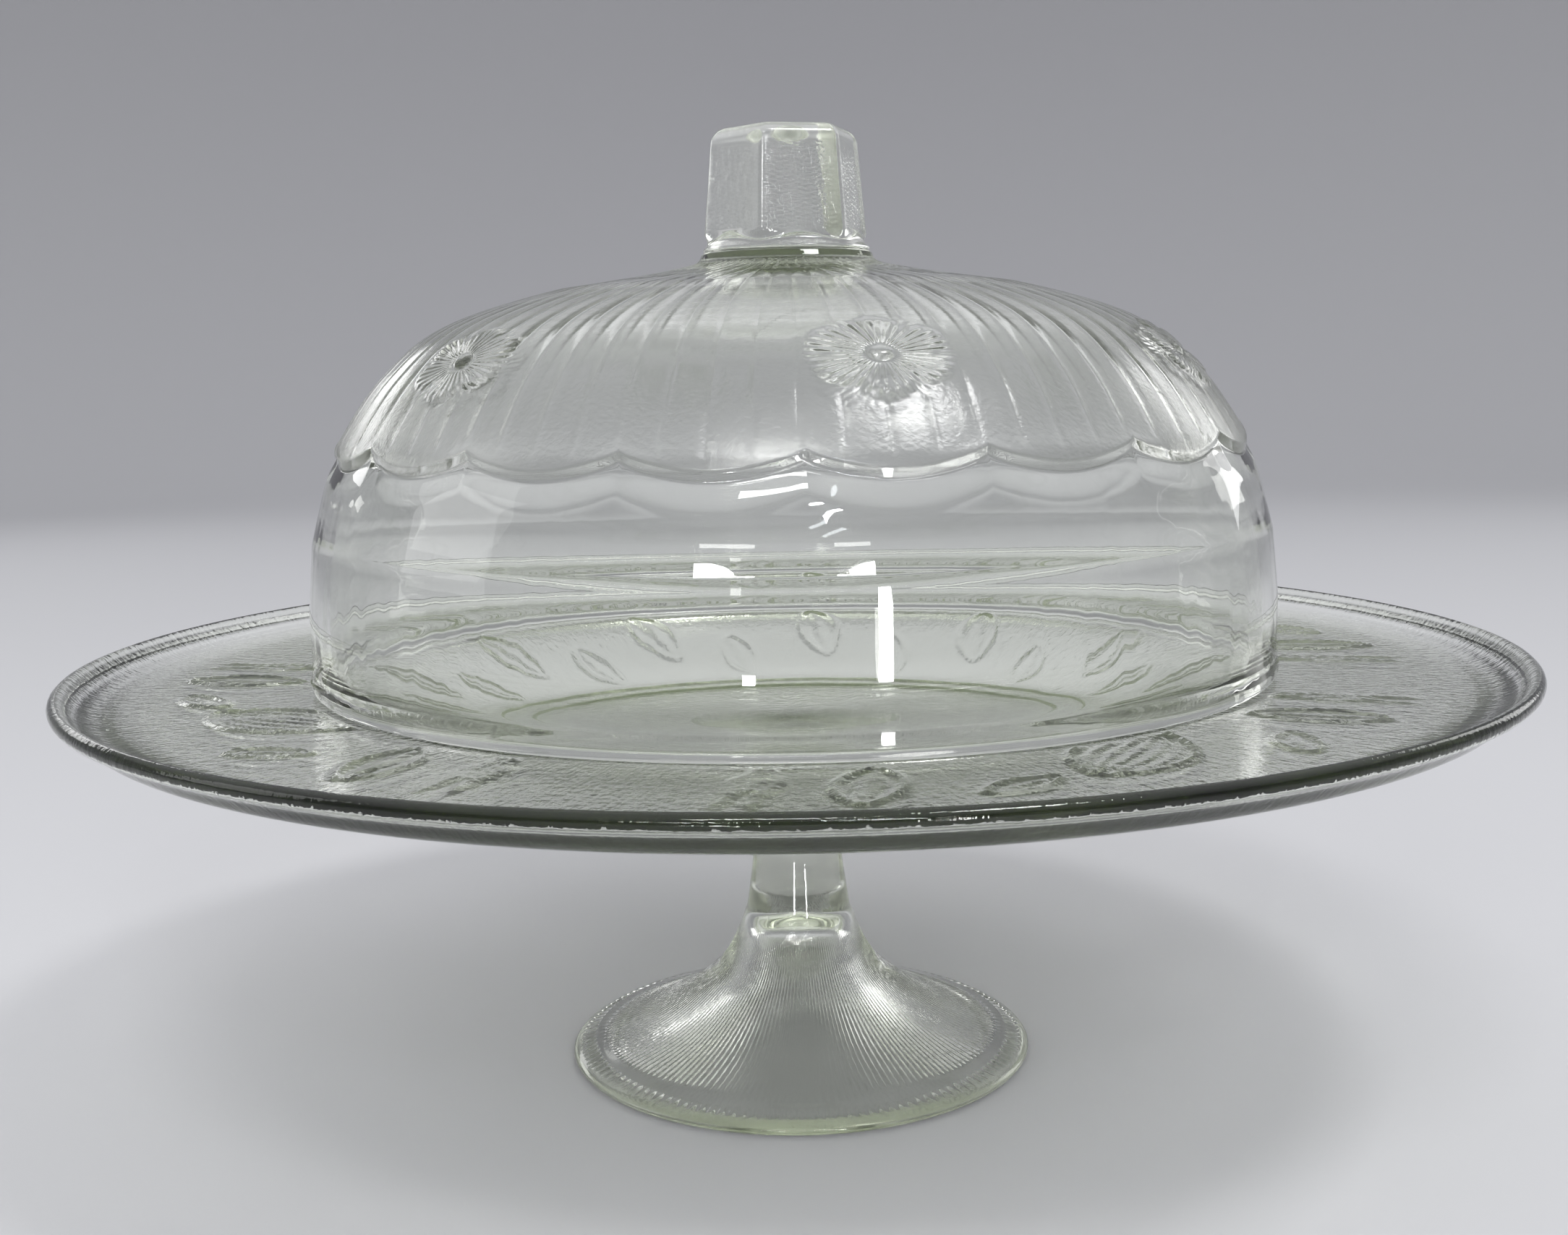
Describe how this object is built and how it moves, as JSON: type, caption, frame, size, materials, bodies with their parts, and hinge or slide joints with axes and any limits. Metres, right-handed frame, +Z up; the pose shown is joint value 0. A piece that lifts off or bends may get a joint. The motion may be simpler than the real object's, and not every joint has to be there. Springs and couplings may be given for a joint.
{
  "type": "cake stand with dome",
  "caption": "Footed clear pressed-glass cake stand: a dished serving plate on a hollow trumpet foot, covered by a lift-off glass dome with a hexagonal knob.",
  "frame": {"origin": "centre of the foot's flat resting ring, on the surface that the stand stands on", "axes": "+Z up along the common axis of foot, plate and dome; -Y is the front; the knob's front facet is turned 12.5 degrees from -Y towards +X"},
  "size_m": [0.37, 0.37, 0.245],
  "materials": {
    "foot_glass": "clear pressed glass with fine radial ribs",
    "plate_glass": "clear pressed glass, faint grey-green in thick sections, leaf relief",
    "dome_glass": "clear polished glass with a pleated, scalloped relief cap",
    "knob_glass": "clear pressed glass with pebbled facets"
  },
  "bodies": {
    "stand": {"pedestal_foot": "foot_glass", "serving_plate": "plate_glass"},
    "dome": {"dome_shell": "dome_glass", "dome_knob": "knob_glass"}
  },
  "joints": [
    {"name": "dome_lift", "type": "slide", "parent": "stand", "child": "dome", "axis": [0, 0, 1], "range_m": [0, 0.16]}
  ]
}
